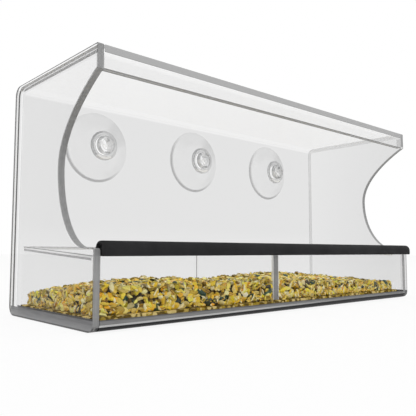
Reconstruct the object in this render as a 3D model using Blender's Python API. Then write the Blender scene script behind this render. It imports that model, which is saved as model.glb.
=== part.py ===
"""Window bird feeder: a clear shelter of bent sheet between two side panels, with a lift-out seed
tray, a soft perch pushed over its low front wall, and three suction cups on its back.

Metres, +Z up. The origin is the middle of the flat underside. +X runs along the feeder, the birds
land from -Y, and +Y points at the window that the cups hold on to.
"""
import math

import bmesh
import bpy
from mathutils import Vector
from mathutils.geometry import interpolate_bezier

# Outside of the shelter, without the perch and the cups
WIDTH = 0.305
DEPTH = 0.100
HEIGHT = 0.1415

# Clear sheet of the shelter
SHEET = 0.004
BACK_BEND_INSIDE = 0.002
FRONT_BEND_INSIDE = 0.0008
FRONT_WALL_HEIGHT = 0.0403
LIP_DROP = 0.0126
EDGE_BREAK = 0.0003

# Clearances
SEAM_GAP = 0.0003
TRAY_SIDE_SLACK = 0.0008
TRAY_SETBACK = 0.0073
CUT_OVERRUN = 0.001
MERGE_DISTANCE = 0.00001

# Cut-out in the front edge of each side panel
CUTOUT_REACH = 0.039
CUTOUT_WAIST_HEIGHT = 0.084
CUTOUT_LAND = 0.008
CUTOUT_CORNER_ROUND = 0.0015
# Curve handles as shares of the reach and of the fall from the lip to the waist
UPPER_CURVE_SHARES = ((0.49, 0.24), (1.0, 0.60))
QUARTER_CURVE_SHARE = 0.5523

# Perch, a soft sleeve with a slit for the front wall
PERCH_FRONT_LEG = 0.0052
PERCH_REAR_LEG = 0.0014
PERCH_CROWN = 0.0034
PERCH_WRAP = 0.0039
PERCH_TOP_ROUND = 0.0042
PERCH_FOOT_ROUND = 0.0006

# Suction cups, placed from the roof and from the outer faces of the side panels
CUP_DROP = 0.0292
CUP_INSET = 0.0613
CUP_RIM_RADIUS = 0.0249
CUP_RIM_LAND = 0.0028
CUP_RIM_EDGE = 0.0008
CUP_LENGTH = 0.0052
CUP_DISH = 0.0022
CUP_BOSS_RADIUS = 0.0105
CUP_BOSS_LENGTH = 0.0012
CUP_NECK_RADIUS = 0.0062
CUP_BRIM_RADIUS = 0.0104
CUP_BRIM_LENGTH = 0.0022
CUP_BRIM_ROUND = 0.001
CUP_HEAD_RADIUS = 0.0066
CUP_HEAD_LENGTH = 0.0056
CUP_HEAD_ROUND = 0.0022
# Curve handles of the bell as shares of its run from the boss to the rim
CUP_BELL_SHARES = ((0.45, 0.10), (0.80, 0.55))

# Lift-out tray
TRAY_FLOOR = 0.002
TRAY_WALL = 0.0025
TRAY_FRONT_HEIGHT = 0.0325
TRAY_BACK_HEIGHT = 0.0373
TRAY_RIM_CHAMFER = 0.0015
DIVIDER_THICKNESS = 0.0055
DIVIDER_OFFSET = -0.0083

# Drain holes, in line through the tray's floor and the shelter's
DRAIN_RADIUS = 0.0017
DRAIN_ROW_SPACING = 0.052
DRAIN_ROWS = 2
DRAIN_COLUMNS = 3

# Seed fill: its height over the tray floor at the corners of each compartment, as
# ((front left, front right), (back left, back right))
SEEDS_LEFT_HEIGHTS = ((0.0150, 0.0125), (0.0070, 0.0105))
SEEDS_RIGHT_HEIGHTS = ((0.0125, 0.0060), (0.0100, 0.0090))
SEED_SWELL = 0.0042
SEED_LUMP = 0.0013
SEED_LUMPS_ALONG = 5
SEED_LUMPS_BACK = 3
SEED_LUMP_SKEW_SHARE = 0.6
SEED_WALL_GAP = 0.0005

# Facets
BEND_STEPS = 6
CUTOUT_STEPS = 14
BELL_STEPS = 5
TURN_STEPS = 36
HOLE_STEPS = 12
ROUND_STEPS = 5
SEED_COLUMNS = 30
SEED_ROWS = 18

# Worked out from the sizes above
FRONT = -DEPTH / 2
BACK = DEPTH / 2
INNER_FRONT = FRONT + SHEET
INNER_BACK = BACK - SHEET
INNER_SIDE = WIDTH / 2 - SHEET
LIP_BOTTOM = HEIGHT - LIP_DROP
CUP_HEIGHT = HEIGHT - CUP_DROP
CUP_PITCH = WIDTH / 2 - CUP_INSET
TRAY_BASE = SHEET + SEAM_GAP
TRAY_FLOOR_TOP = TRAY_BASE + TRAY_FLOOR
TRAY_WALL_BASE = TRAY_FLOOR_TOP + SEAM_GAP
TRAY_SIDE = INNER_SIDE - TRAY_SIDE_SLACK
TRAY_FRONT = FRONT + TRAY_SETBACK
TRAY_BACK = INNER_BACK - BACK_BEND_INSIDE
TRAY_INNER_FRONT = TRAY_FRONT + TRAY_WALL
TRAY_INNER_BACK = TRAY_BACK - TRAY_WALL
COMPARTMENTS = (
    (-TRAY_SIDE + TRAY_WALL, DIVIDER_OFFSET - DIVIDER_THICKNESS / 2),
    (DIVIDER_OFFSET + DIVIDER_THICKNESS / 2, TRAY_SIDE - TRAY_WALL),
)


def clear_scene():
    for obj in list(bpy.data.objects):
        bpy.data.objects.remove(obj)


def make_material(name, colour, roughness, alpha=1.0):
    material = bpy.data.materials.new(name)
    material.use_nodes = True
    shader = material.node_tree.nodes["Principled BSDF"]
    shader.inputs["Base Color"].default_value = (*colour, 1.0)
    shader.inputs["Roughness"].default_value = roughness
    shader.inputs["Metallic"].default_value = 0.0
    shader.inputs["Alpha"].default_value = alpha
    return material


def add_object(name, bm, material, location=(0, 0, 0), parent=None):
    """Turns a bmesh into an object whose mesh is measured from its own location."""
    bmesh.ops.recalc_face_normals(bm, faces=bm.faces)
    bmesh.ops.translate(bm, verts=bm.verts, vec=-Vector(location))
    mesh = bpy.data.meshes.new(name)
    bm.to_mesh(mesh)
    bm.free()
    mesh.materials.append(material)
    obj = bpy.data.objects.new(name, mesh)
    obj.location = location
    bpy.context.scene.collection.objects.link(obj)
    if parent:
        obj.parent = parent
        obj.location = Vector(location) - parent.location
    return obj


def prism(outline, low_x, high_x):
    """A plate whose (y, z) outline is pushed along X."""
    bm = bmesh.new()
    face = bm.faces.new([bm.verts.new((low_x, y, z)) for y, z in outline])
    pushed = bmesh.ops.extrude_face_region(bm, geom=[face])
    moved = [item for item in pushed["geom"] if isinstance(item, bmesh.types.BMVert)]
    bmesh.ops.translate(bm, verts=moved, vec=(high_x - low_x, 0, 0))
    return bm


def block(low, high):
    (x0, y0, z0), (x1, y1, z1) = low, high
    return prism([(y0, z0), (y1, z0), (y1, z1), (y0, z1)], x0, x1)


def arc(centre, radius, start, end, steps):
    """Points of a circular bend about (y, z), its angles in degrees from +Y towards +Z."""
    angles = [math.radians(start + (end - start) * step / steps) for step in range(steps + 1)]
    return [(centre[0] + radius * math.cos(a), centre[1] + radius * math.sin(a)) for a in angles]


def curve(start, start_handle, end_handle, end, steps):
    """Points of a flat cubic curve."""
    knots = [Vector((*point, 0)) for point in (start, start_handle, end_handle, end)]
    return [(point.x, point.y) for point in interpolate_bezier(*knots, steps + 1)]


def break_edges(obj):
    bevel = obj.modifiers.new("polished_edges", "BEVEL")
    bevel.width = EDGE_BREAK
    bevel.segments = 1
    bevel.limit_method = "ANGLE"
    bevel.angle_limit = math.radians(60)


def add_cutter(name, rods):
    """One hidden object of round rods, each given by its two end points and its radius."""
    bm = bmesh.new()
    for low, high, radius in rods:
        start = Vector(low)
        run = Vector(high) - start
        turn = Vector((0, 0, 1)).rotation_difference(run).to_matrix().to_4x4()
        made = bmesh.ops.create_cone(bm, cap_ends=True, segments=HOLE_STEPS, radius1=radius,
                                     radius2=radius, depth=run.length)
        bmesh.ops.transform(bm, matrix=turn, verts=made["verts"])
        bmesh.ops.translate(bm, verts=made["verts"], vec=start + run / 2)
    mesh = bpy.data.meshes.new(name)
    bm.to_mesh(mesh)
    bm.free()
    cutter = bpy.data.objects.new(name, mesh)
    cutter.hide_render = True
    cutter.display_type = "WIRE"
    bpy.context.scene.collection.objects.link(cutter)
    return cutter


def cut(obj, cutter):
    boolean = obj.modifiers.new(cutter.name, "BOOLEAN")
    boolean.operation = "DIFFERENCE"
    boolean.solver = "EXACT"
    boolean.object = cutter


def drain_rods(low_z, high_z):
    """Rows of drain holes under each compartment."""
    middle = (TRAY_INNER_FRONT + TRAY_INNER_BACK) / 2
    rods = []
    for left, right in COMPARTMENTS:
        for column in range(DRAIN_COLUMNS):
            x = left + (right - left) * (column + 0.5) / DRAIN_COLUMNS
            for row in range(DRAIN_ROWS):
                y = middle + DRAIN_ROW_SPACING * (row - (DRAIN_ROWS - 1) / 2)
                rods.append(((x, y, low_z), (x, y, high_z), DRAIN_RADIUS))
    return rods


def cup_places():
    return {"left": -CUP_PITCH, "middle": 0.0, "right": CUP_PITCH}


def shell_bends():
    """The sheet's three bends, from the roof round to the front wall: centre, inside radius, angles."""
    back_reach, front_reach = BACK_BEND_INSIDE + SHEET, FRONT_BEND_INSIDE + SHEET
    return [
        ((BACK - back_reach, HEIGHT - back_reach), BACK_BEND_INSIDE, 90, 0),
        ((BACK - back_reach, back_reach), BACK_BEND_INSIDE, 0, -90),
        ((FRONT + front_reach, front_reach), FRONT_BEND_INSIDE, -90, -180),
    ]


def add_shell(material):
    """Roof, back, floor and low front wall, bent from one sheet."""
    outside = [(FRONT, HEIGHT)]
    inside = [(FRONT, HEIGHT - SHEET)]
    for centre, radius, start, end in shell_bends():
        outside += arc(centre, radius + SHEET, start, end, BEND_STEPS)
        inside += arc(centre, radius, start, end, BEND_STEPS)
    outside.append((FRONT, FRONT_WALL_HEIGHT))
    inside.append((INNER_FRONT, FRONT_WALL_HEIGHT))
    reach = INNER_SIDE - SEAM_GAP
    shell = add_object("shell_sheet", prism(outside + inside[::-1], -reach, reach), material)
    break_edges(shell)
    neck_hole = CUP_NECK_RADIUS + SEAM_GAP
    rods = [((x, INNER_BACK - CUT_OVERRUN, CUP_HEIGHT), (x, BACK + CUT_OVERRUN, CUP_HEIGHT), neck_hole)
            for x in cup_places().values()]
    cut(shell, add_cutter("neck_hole_cutter", rods))
    cut(shell, add_cutter("shell_drain_cutter", drain_rods(-CUT_OVERRUN, SHEET + CUT_OVERRUN)))


def add_lip(material):
    """Strip that hangs from the front of the roof."""
    reach = INNER_SIDE - SEAM_GAP
    low = (-reach, FRONT, LIP_BOTTOM)
    high = (reach, INNER_FRONT, HEIGHT - SHEET - SEAM_GAP)
    break_edges(add_object("roof_lip", block(low, high), material))


def side_outline():
    """Outline of a side panel, from the lip round the back and up to the landing cut-out."""
    outline = [(FRONT, HEIGHT)]
    for centre, radius, start, end in shell_bends():
        outline += arc(centre, radius + SHEET, start, end, BEND_STEPS)
    corner = (FRONT + CUTOUT_CORNER_ROUND, FRONT_WALL_HEIGHT - CUTOUT_CORNER_ROUND)
    outline += arc(corner, CUTOUT_CORNER_ROUND, 180, 90, ROUND_STEPS)
    lip = (FRONT, LIP_BOTTOM)
    waist = (FRONT + CUTOUT_REACH, CUTOUT_WAIST_HEIGHT)
    land = (FRONT + CUTOUT_LAND, FRONT_WALL_HEIGHT)
    rise = waist[1] - land[1]
    run = waist[0] - land[0]
    outline += curve(land, (land[0] + run * QUARTER_CURVE_SHARE, land[1]),
                     (waist[0], waist[1] - rise * QUARTER_CURVE_SHARE), waist, CUTOUT_STEPS)
    drop = lip[1] - waist[1]
    near, far = [(lip[0] + CUTOUT_REACH * across, lip[1] - drop * down)
                 for across, down in UPPER_CURVE_SHARES]
    return outline + curve(waist, far, near, lip, CUTOUT_STEPS)[1:]


def add_side(name, side, material):
    middle = side * (WIDTH - SHEET) / 2
    plate = prism(side_outline(), middle - SHEET / 2, middle + SHEET / 2)
    break_edges(add_object(name, plate, material, location=(middle, 0, 0)))


def add_perch(material):
    """Sleeve with a round top and two legs that grip the front wall."""
    slit_front, slit_back = FRONT - SEAM_GAP, INNER_FRONT + SEAM_GAP
    front, back = slit_front - PERCH_FRONT_LEG, slit_back + PERCH_REAR_LEG
    slit_top = FRONT_WALL_HEIGHT + SEAM_GAP
    top, foot = slit_top + PERCH_CROWN, FRONT_WALL_HEIGHT - PERCH_WRAP
    round_z, foot_z = top - PERCH_TOP_ROUND, foot + PERCH_FOOT_ROUND
    outline = arc((front + PERCH_TOP_ROUND, round_z), PERCH_TOP_ROUND, 180, 90, BEND_STEPS)
    outline += arc((back - PERCH_TOP_ROUND, round_z), PERCH_TOP_ROUND, 90, 0, BEND_STEPS)
    outline += arc((back - PERCH_FOOT_ROUND, foot_z), PERCH_FOOT_ROUND, 0, -90, ROUND_STEPS)
    outline += [(slit_back, foot), (slit_back, slit_top), (slit_front, slit_top), (slit_front, foot)]
    outline += arc((front + PERCH_FOOT_ROUND, foot_z), PERCH_FOOT_ROUND, -90, -180, ROUND_STEPS)
    reach = INNER_SIDE - SEAM_GAP
    add_object("perch_grip", prism(outline, -reach, reach), material)


def cup_profile():
    """Half section of a suction cup, as (radius, distance behind the back panel). Its head is a knob on
    a wide brim, and the sheet is held between the brim and the boss."""
    head_back = -SHEET - SEAM_GAP
    head_front = head_back - CUP_HEAD_LENGTH
    crown = arc((CUP_HEAD_RADIUS - CUP_HEAD_ROUND, head_front + CUP_HEAD_ROUND), CUP_HEAD_ROUND,
                -90, 0, ROUND_STEPS)
    brim_front = head_back - CUP_BRIM_LENGTH
    brim = arc((CUP_BRIM_RADIUS - CUP_BRIM_ROUND, brim_front + CUP_BRIM_ROUND), CUP_BRIM_ROUND,
               -90, 0, ROUND_STEPS)
    boss_end = (CUP_BOSS_RADIUS, SEAM_GAP + CUP_BOSS_LENGTH)
    rim_end = (CUP_RIM_RADIUS, CUP_LENGTH - CUP_RIM_EDGE)
    run, rise = rim_end[0] - boss_end[0], rim_end[1] - boss_end[1]
    handles = [(boss_end[0] + run * out, boss_end[1] + rise * on) for out, on in CUP_BELL_SHARES]
    bell = curve(boss_end, *handles, rim_end, BELL_STEPS)
    land = CUP_RIM_RADIUS - CUP_RIM_LAND
    dish_radius = (land ** 2 + CUP_DISH ** 2) / (2 * CUP_DISH)
    dish_centre = (0, CUP_LENGTH - CUP_DISH + dish_radius)
    dish_edge = -math.degrees(math.acos(land / dish_radius))
    dish = arc(dish_centre, dish_radius, dish_edge, -90, BELL_STEPS)
    return [
        (0, head_front), *crown, (CUP_HEAD_RADIUS, brim_front), *brim, (CUP_BRIM_RADIUS, head_back),
        (CUP_NECK_RADIUS, head_back), (CUP_NECK_RADIUS, SEAM_GAP), (CUP_BOSS_RADIUS, SEAM_GAP), *bell,
        (CUP_RIM_RADIUS, CUP_LENGTH), *dish,
    ]


def add_cup(name, x, material):
    """Suction cup turned about its axis, which runs along Y through its hole."""
    bm = bmesh.new()
    verts = [bm.verts.new((x + radius, BACK + along, CUP_HEIGHT)) for radius, along in cup_profile()]
    edges = [bm.edges.new(pair) for pair in zip(verts, verts[1:])]
    bmesh.ops.spin(bm, geom=edges, cent=(x, BACK, CUP_HEIGHT), axis=(0, 1, 0), angle=math.tau,
                   steps=TURN_STEPS, use_merge=False, use_duplicate=False)
    bmesh.ops.remove_doubles(bm, verts=bm.verts, dist=MERGE_DISTANCE)
    cup = add_object(name, bm, material, location=(x, BACK, CUP_HEIGHT))
    cup.data.shade_smooth()
    cup.data.set_sharp_from_angle(angle=math.radians(35))


def tray_wall_outline():
    """Side view of the tray's end walls and divider, which fall towards the front."""
    low = TRAY_WALL_BASE
    run = (TRAY_INNER_FRONT + SEAM_GAP, TRAY_INNER_BACK - SEAM_GAP)
    tops = (TRAY_BASE + TRAY_FRONT_HEIGHT, TRAY_BASE + TRAY_BACK_HEIGHT)
    return [(run[0], low), (run[1], low), (run[1], tops[1]), (run[0], tops[0])]


def chamfer_rim(bm, outer_x):
    """Takes the outer top edge off a tray end wall."""
    top_edges = [edge for edge in bm.edges
                 if all(math.isclose(v.co.x, outer_x, abs_tol=EDGE_BREAK) for v in edge.verts)
                 and all(v.co.z > TRAY_WALL_BASE + TRAY_RIM_CHAMFER for v in edge.verts)]
    bmesh.ops.bevel(bm, geom=top_edges, offset=TRAY_RIM_CHAMFER, offset_type="OFFSET", segments=1,
                    profile=0.5, affect="EDGES", clamp_overlap=True)


def add_tray(material):
    """Floor, four walls and a divider, all carried by one empty that lifts out of the shelter."""
    tray = bpy.data.objects.new("tray", None)
    tray.location = (0, 0, TRAY_BASE)
    bpy.context.scene.collection.objects.link(tray)
    low = (-TRAY_SIDE, TRAY_FRONT, TRAY_BASE)
    high = (TRAY_SIDE, TRAY_BACK, TRAY_FLOOR_TOP)
    floor = add_object("tray_floor", block(low, high), material, location=tray.location, parent=tray)
    cut(floor, add_cutter("tray_drain_cutter",
                          drain_rods(TRAY_BASE - CUT_OVERRUN, TRAY_FLOOR_TOP + CUT_OVERRUN)))
    walls = {
        "tray_front_wall": (TRAY_FRONT, TRAY_INNER_FRONT, TRAY_FRONT_HEIGHT),
        "tray_back_wall": (TRAY_INNER_BACK, TRAY_BACK, TRAY_BACK_HEIGHT),
    }
    for name, (near, far, height) in walls.items():
        wall = block((-TRAY_SIDE, near, TRAY_WALL_BASE), (TRAY_SIDE, far, TRAY_BASE + height))
        add_object(name, wall, material, location=(0, near, TRAY_BASE), parent=tray)
    for name, side in (("tray_end_left", -1), ("tray_end_right", 1)):
        outer, inner = side * TRAY_SIDE, side * (TRAY_SIDE - TRAY_WALL)
        wall = prism(tray_wall_outline(), min(outer, inner), max(outer, inner))
        chamfer_rim(wall, outer)
        add_object(name, wall, material, location=(outer, 0, TRAY_BASE), parent=tray)
    reach = DIVIDER_THICKNESS / 2
    divider = prism(tray_wall_outline(), DIVIDER_OFFSET - reach, DIVIDER_OFFSET + reach)
    add_object("tray_divider", divider, material, location=(DIVIDER_OFFSET, 0, TRAY_BASE), parent=tray)
    return tray


def seed_height(heights, across, back):
    """Height of the fill at shares of a compartment's width and depth."""
    (front_left, front_right), (back_left, back_right) = heights
    front = front_left + (front_right - front_left) * across
    rear = back_left + (back_right - back_left) * across
    mound = SEED_SWELL * math.sin(math.pi * across) * back
    lumps_along = math.sin(math.tau * (SEED_LUMPS_ALONG * across + SEED_LUMP_SKEW_SHARE * back))
    lumps_back = math.cos(math.tau * (SEED_LUMPS_BACK * back - SEED_LUMP_SKEW_SHARE * across))
    return front + (rear - front) * back + mound + SEED_LUMP * lumps_along * lumps_back


def add_seeds(name, compartment, heights, material, tray):
    """Heap of loose seed in one compartment: a rolling top over a flat foot."""
    left, right = compartment[0] + SEED_WALL_GAP, compartment[1] - SEED_WALL_GAP
    near, far = TRAY_INNER_FRONT + SEED_WALL_GAP, TRAY_INNER_BACK - SEED_WALL_GAP
    foot = TRAY_FLOOR_TOP + SEAM_GAP
    bm = bmesh.new()
    grid = []
    for row in range(SEED_ROWS + 1):
        back = row / SEED_ROWS
        y = near + (far - near) * back
        line = []
        for column in range(SEED_COLUMNS + 1):
            across = column / SEED_COLUMNS
            x = left + (right - left) * across
            line.append(bm.verts.new((x, y, foot + seed_height(heights, across, back))))
        grid.append(line)
    for first, second in zip(grid, grid[1:]):
        for column in range(SEED_COLUMNS):
            bm.faces.new((first[column], first[column + 1], second[column + 1], second[column]))
    rim = [edge for edge in bm.edges if edge.is_boundary]
    dropped = bmesh.ops.extrude_edge_only(bm, edges=rim)["geom"]
    for item in dropped:
        if isinstance(item, bmesh.types.BMVert):
            item.co.z = foot
    bmesh.ops.holes_fill(bm, edges=[edge for edge in bm.edges if edge.is_boundary])
    heap = add_object(name, bm, material, location=(left, near, foot), parent=tray)
    heap.data.shade_smooth()
    heap.data.set_sharp_from_angle(angle=math.radians(35))


def main():
    clear_scene()
    acrylic = make_material("clear_acrylic", (0.90, 0.92, 0.92), 0.05, alpha=0.3)
    tray_acrylic = make_material("clear_tray_acrylic", (0.86, 0.88, 0.88), 0.08, alpha=0.35)
    foam = make_material("black_foam", (0.02, 0.02, 0.02), 0.75)
    vinyl = make_material("clear_vinyl", (0.80, 0.82, 0.82), 0.15, alpha=0.5)
    seed = make_material("seed_mix", (0.55, 0.40, 0.14), 0.7)
    add_shell(acrylic)
    add_lip(acrylic)
    add_side("side_panel_left", -1, acrylic)
    add_side("side_panel_right", 1, acrylic)
    add_perch(foam)
    for place, x in cup_places().items():
        add_cup("suction_cup_" + place, x, vinyl)
    tray = add_tray(tray_acrylic)
    add_seeds("seeds_left", COMPARTMENTS[0], SEEDS_LEFT_HEIGHTS, seed, tray)
    add_seeds("seeds_right", COMPARTMENTS[1], SEEDS_RIGHT_HEIGHTS, seed, tray)


main()
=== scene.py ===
"""Looks of the window bird feeder: clear acrylic, soft cups, a foam perch and loose mixed seed."""
import math

import bmesh
import bpy
import numpy as np
from mathutils import Matrix, Vector
from mathutils.bvhtree import BVHTree


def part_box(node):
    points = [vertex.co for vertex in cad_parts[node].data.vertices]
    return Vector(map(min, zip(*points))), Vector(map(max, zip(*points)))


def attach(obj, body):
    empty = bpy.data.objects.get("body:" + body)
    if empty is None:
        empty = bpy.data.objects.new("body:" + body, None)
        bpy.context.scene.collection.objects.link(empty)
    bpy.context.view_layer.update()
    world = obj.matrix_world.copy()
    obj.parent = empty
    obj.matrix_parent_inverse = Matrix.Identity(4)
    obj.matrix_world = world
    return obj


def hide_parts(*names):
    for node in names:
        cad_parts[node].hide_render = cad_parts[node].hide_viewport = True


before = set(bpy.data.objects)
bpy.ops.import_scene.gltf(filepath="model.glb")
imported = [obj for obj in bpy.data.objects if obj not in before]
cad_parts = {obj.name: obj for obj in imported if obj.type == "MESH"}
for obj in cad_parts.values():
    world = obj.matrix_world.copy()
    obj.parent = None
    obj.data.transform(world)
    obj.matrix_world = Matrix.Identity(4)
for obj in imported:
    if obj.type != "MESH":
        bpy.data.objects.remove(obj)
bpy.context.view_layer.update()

MM = 0.001

# Camera, fitted to the shelter's corners
CAMERA_PLACE = (-0.2800, -0.2719, 0.0389)
CAMERA_TURN = math.radians(42.17)
CAMERA_RISE = math.radians(4.71)
CAMERA_ROLL = math.radians(0.08)
CAMERA_LENS = 45.35

# Where the shelter's sheets lie
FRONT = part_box("shell_sheet")[0].y
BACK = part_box("shell_sheet")[1].y
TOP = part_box("shell_sheet")[1].z
HALF_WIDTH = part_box("side_panel_right")[1].x
SHEET = HALF_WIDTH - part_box("side_panel_right")[0].x
SILL_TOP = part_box("tray_floor")[1].z
CUTOUT_END = -9 * MM
CUTOUT_LOW, CUTOUT_HIGH = 30 * MM, 135 * MM

# A point this close to a face lies on it. A normal that leans this far along an axis faces that way,
# or squarely that way, and a fold sharper than this stays sharp
SKIN = 0.1 * MM
FACES, FACES_SQUARELY = 0.5, 0.9
SHARP_FOLD = math.radians(42)


class Shader:
    """A material's node tree with short calls for what these materials need."""

    def __init__(self, name):
        self.material = bpy.data.materials.new(name)
        self.material.use_nodes = True
        self.tree = self.material.node_tree
        self.surface = self.tree.nodes["Principled BSDF"]
        self.coords = self.tree.nodes.new("ShaderNodeTexCoord")

    def put(self, socket, value):
        if isinstance(value, bpy.types.NodeSocket):
            self.tree.links.new(value, socket)
        elif hasattr(socket.default_value, "__len__") and not hasattr(value, "__len__"):
            socket.default_value = [value] * len(socket.default_value)
        elif hasattr(value, "__len__") and len(value) == 3 and len(socket.default_value) == 4:
            socket.default_value = (*value, 1.0)
        else:
            socket.default_value = value

    def node(self, kind, inputs=None, **settings):
        made = self.tree.nodes.new(kind)
        for name, value in settings.items():
            setattr(made, name, value)
        for name, value in (inputs or {}).items():
            self.put(made.inputs[name], value)
        return made

    def math(self, operation, a, b=0.0, clamp=False):
        made = self.tree.nodes.new("ShaderNodeMath")
        made.operation = operation
        made.use_clamp = clamp
        self.put(made.inputs[0], a)
        self.put(made.inputs[1], b)
        return made.outputs[0]

    def mix(self, share, a, b):
        """Colours a and b, by share."""
        made = self.node("ShaderNodeMix", data_type="RGBA")
        self.put(made.inputs[0], share)
        self.put(made.inputs[6], a)
        self.put(made.inputs[7], b)
        return made.outputs[2]

    def blend(self, share, a, b):
        """Values a and b, by share."""
        made = self.tree.nodes.new("ShaderNodeMix")
        self.put(made.inputs[0], share)
        self.put(made.inputs[2], a)
        self.put(made.inputs[3], b)
        return made.outputs[0]

    def ramp(self, value, low, high, to_low=0.0, to_high=1.0):
        """Smooth step from low to high."""
        made = self.node("ShaderNodeMapRange", interpolation_type="SMOOTHSTEP")
        for place, item in enumerate((value, low, high, to_low, to_high)):
            self.put(made.inputs[place], item)
        return made.outputs[0]

    def split(self, vector):
        made = self.node("ShaderNodeSeparateXYZ", {"Vector": vector})
        return made.outputs[0], made.outputs[1], made.outputs[2]

    def noise(self, scale, detail=3.0, vector=None):
        place = vector or self.coords.outputs["Object"]
        made = self.node("ShaderNodeTexNoise", {"Scale": scale, "Detail": detail, "Vector": place})
        return made.outputs[0]

    def facing(self):
        """0 where the surface is seen squarely and 1 where it is seen edge on. It serves only how
        see-through clear plastic is and the painted pale sheen that comes with that. No mark reads it."""
        return self.node("ShaderNodeLayerWeight", {"Blend": 0.5}).outputs["Facing"]

    def size(self, value):
        return self.math("ABSOLUTE", value)

    def under(self, value, limit):
        return self.math("LESS_THAN", value, limit)

    def over(self, value, limit):
        return self.math("GREATER_THAN", value, limit)

    def near(self, value, place, reach):
        return self.under(self.size(self.math("SUBTRACT", value, place)), reach)

    def either(self, first, *others):
        for mask in others:
            first = self.math("MAXIMUM", first, mask)
        return first

    def both(self, first, *others):
        for mask in others:
            first = self.math("MULTIPLY", first, mask)
        return first

    def no(self, mask):
        return self.math("SUBTRACT", 1.0, mask)

    def band(self, value, low, high, soft):
        """1 between low and high, with soft borders."""
        rise = self.ramp(value, low - soft, low + soft)
        return self.both(rise, self.ramp(value, high - soft, high + soft, 1, 0))

    def bump(self, height, strength, distance):
        inputs = {"Height": height, "Strength": strength, "Distance": distance}
        made = self.node("ShaderNodeBump", inputs)
        self.put(self.surface.inputs["Normal"], made.outputs[0])

    def set(self, **values):
        for name, value in values.items():
            self.put(self.surface.inputs[name.replace("_", " ")], value)


# Clear acrylic: greys of its edges, and what is clear or glares; the glare is painted highlights and
# sheen
EDGE_GREY = (0.235, 0.235, 0.235)
EDGE_PALE = (0.39, 0.39, 0.39)
EDGE_BAND = (0.58, 0.58, 0.58)
EDGE_DARK = (0.10, 0.10, 0.10)
EDGE_LIGHT = (0.55, 0.55, 0.55)
EDGE_SHADE = (0.19, 0.19, 0.19)
ROOF_LINE = (0.64, 0.64, 0.64)
# The cut edges' darker grey at middle height is painted shade
CUTOUT_SHADE_GREY = (0.195, 0.195, 0.195)
FOOT_PALE, FOOT_DARK = (0.27, 0.27, 0.275), (0.13, 0.13, 0.135)
SILL_BLACK = (0.014, 0.014, 0.015)
FILM = (0.035, 0.037, 0.038)
GLARE = (0.92, 0.92, 0.92)
GLARE_SHARE = 0.35
EDGE_ROUGHNESS = 0.45

# How fine saw marks are along each axis, for those that run up, along X and along Y
GRAIN_UP, GRAIN_ALONG, GRAIN_BACK = (900.0, 900.0, 60.0), (60.0, 900.0, 900.0), (900.0, 70.0, 900.0)


def acrylic(name, tint, marks, gloss=0.5):
    """Clear sheet. tint is the share of light that a face stops where it is seen squarely, or a
    function that gives the share by place, and marks adds cut edges, each as a mask, a colour and how
    solid it is."""
    s = Shader(name)
    place = s.split(s.coords.outputs["Object"])
    normal = s.split(s.coords.outputs["Normal"])
    facing = s.facing()
    square = s.math("POWER", s.no(facing), 3.0)
    # Painted sheen: at a slant the sheet turns towards GLARE, a white that stands in for reflected light
    glare = s.math("MULTIPLY", s.math("POWER", facing, 6.0), GLARE_SHARE)
    stop = tint(s, place, normal) if callable(tint) else s.math("MULTIPLY", square, tint)
    alpha = s.math("ADD", stop, glare, clamp=True)
    colour = s.mix(s.math("DIVIDE", glare, s.math("ADD", alpha, 0.001), clamp=True), FILM, GLARE)
    rough = s.ramp(s.noise(38.0, 4.0), 0.35, 0.75, 0.03, 0.10)
    for mask, shade, solid in marks(s, place, normal):
        colour = s.mix(mask, colour, shade)
        alpha = s.blend(mask, alpha, solid)
        rough = s.blend(mask, rough, EDGE_ROUGHNESS)
    s.set(Base_Color=colour, Alpha=alpha, Roughness=rough, IOR=1.49, Specular_IOR_Level=gloss)
    return s.material


def saw_grain(s, colour, scale, strength=0.22):
    """Fine streaks along a cut edge."""
    stretched = s.node("ShaderNodeMapping", {"Vector": s.coords.outputs["Object"], "Scale": scale})
    streaks = s.noise(1.0, 2.0, vector=stretched.outputs[0])
    return s.mix(s.ramp(streaks, 0.3, 0.7, 0.0, strength), colour, EDGE_PALE)


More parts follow.
